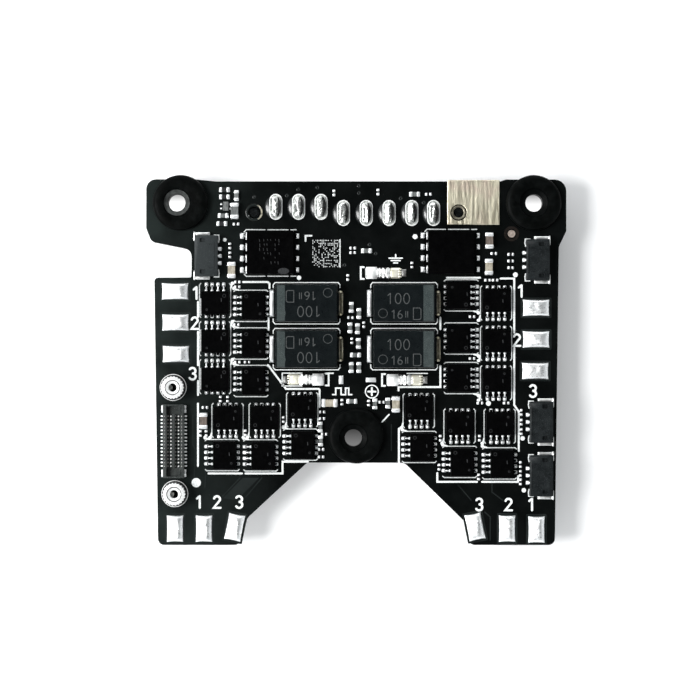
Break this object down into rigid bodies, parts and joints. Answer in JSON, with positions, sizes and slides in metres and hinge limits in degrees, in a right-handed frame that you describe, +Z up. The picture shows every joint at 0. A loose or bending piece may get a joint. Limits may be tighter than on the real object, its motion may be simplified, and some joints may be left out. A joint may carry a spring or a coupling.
{
  "type": "electronic speed controller",
  "caption": "Bare speed controller board for a multi-motor aircraft, with phase transistors, capacitors, edge sockets, stacking connector, solder pads and rubber mounting grommets.",
  "frame": {"origin": "centre of the outline in plan, on the plane the rubber grommets and the battery connector stand on", "axes": "+Z up out of the component face, +Y towards the battery connector edge, +X towards the edge with three signal sockets"},
  "size_m": [0.0472, 0.0416, 0.007],
  "materials": {
    "solder_mask": "semi-gloss black solder mask on fibreglass laminate",
    "mould_compound": "fine-grained black epoxy moulding",
    "tantalum_case": "satin dark slate moulding with a lighter polarity band",
    "rubber": "matte black soft rubber",
    "socket_plastic": "dull charcoal nylon",
    "tin": "bright tin plating",
    "nickel": "brushed, slightly wrinkled nickel foil",
    "contact_copper": "lightly tinned copper alloy",
    "ferrite": "pressed dark grey ferrite",
    "shunt_metal": "dark coated alloy strip",
    "solder": "bright solder with soft ripples",
    "silkscreen": "white printed ink",
    "chip_ceramic": "matte tan ceramic"
  },
  "bodies": {
    "root": {"battery_blade_1": "contact_copper", "battery_blade_2": "contact_copper", "battery_blade_3": "contact_copper", "battery_blade_4": "contact_copper", "battery_blade_5": "contact_copper", "battery_blade_6": "contact_copper", "battery_blade_7": "contact_copper", "battery_blade_8": "contact_copper", "battery_connector_housing": "socket_plastic", "battery_mosfet_left": "mould_compound", "battery_mosfet_right": "mould_compound", "capacitor_lower_left": "tantalum_case", "capacitor_lower_right": "tantalum_case", "capacitor_upper_left": "tantalum_case", "capacitor_upper_right": "tantalum_case", "circuit_board": "solder_mask", "current_shunt": "shunt_metal", "earthing_foil": "nickel", "grommet_centre": "rubber", "grommet_left": "rubber", "grommet_right": "rubber", "mosfet_lower_left_1_high": "mould_compound", "mosfet_lower_left_1_low": "mould_compound", "mosfet_lower_left_2_high": "mould_compound", "mosfet_lower_left_2_low": "mould_compound", "mosfet_lower_left_3_high": "mould_compound", "mosfet_lower_left_3_low": "mould_compound", "mosfet_lower_right_1_high": "mould_compound", "mosfet_lower_right_1_low": "mould_compound", "mosfet_lower_right_2_high": "mould_compound", "mosfet_lower_right_2_low": "mould_compound", "mosfet_lower_right_3_high": "mould_compound", "mosfet_lower_right_3_low": "mould_compound", "mosfet_upper_left_1_high": "mould_compound", "mosfet_upper_left_1_low": "mould_compound", "mosfet_upper_left_2_high": "mould_compound", "mosfet_upper_left_2_low": "mould_compound", "mosfet_upper_left_3_high": "mould_compound", "mosfet_upper_left_3_low": "mould_compound", "mosfet_upper_right_1_high": "mould_compound", "mosfet_upper_right_1_low": "mould_compound", "mosfet_upper_right_2_high": "mould_compound", "mosfet_upper_right_2_low": "mould_compound", "mosfet_upper_right_3_high": "mould_compound", "mosfet_upper_right_3_low": "mould_compound", "motor_driver_lower_left": "mould_compound", "motor_driver_lower_right": "mould_compound", "motor_driver_upper_left": "mould_compound", "motor_driver_upper_right": "mould_compound", "regulator_inductor": "ferrite", "signal_socket_lower_right": "socket_plastic", "signal_socket_middle_right": "socket_plastic", "signal_socket_upper_left": "socket_plastic", "signal_socket_upper_right": "socket_plastic", "spacer_lower": "tin", "spacer_upper": "tin", "spring_contact_ground": "tin", "spring_contact_signal": "tin", "spring_contact_supply": "tin", "stacking_connector": "socket_plastic"}
  },
  "joints": []
}
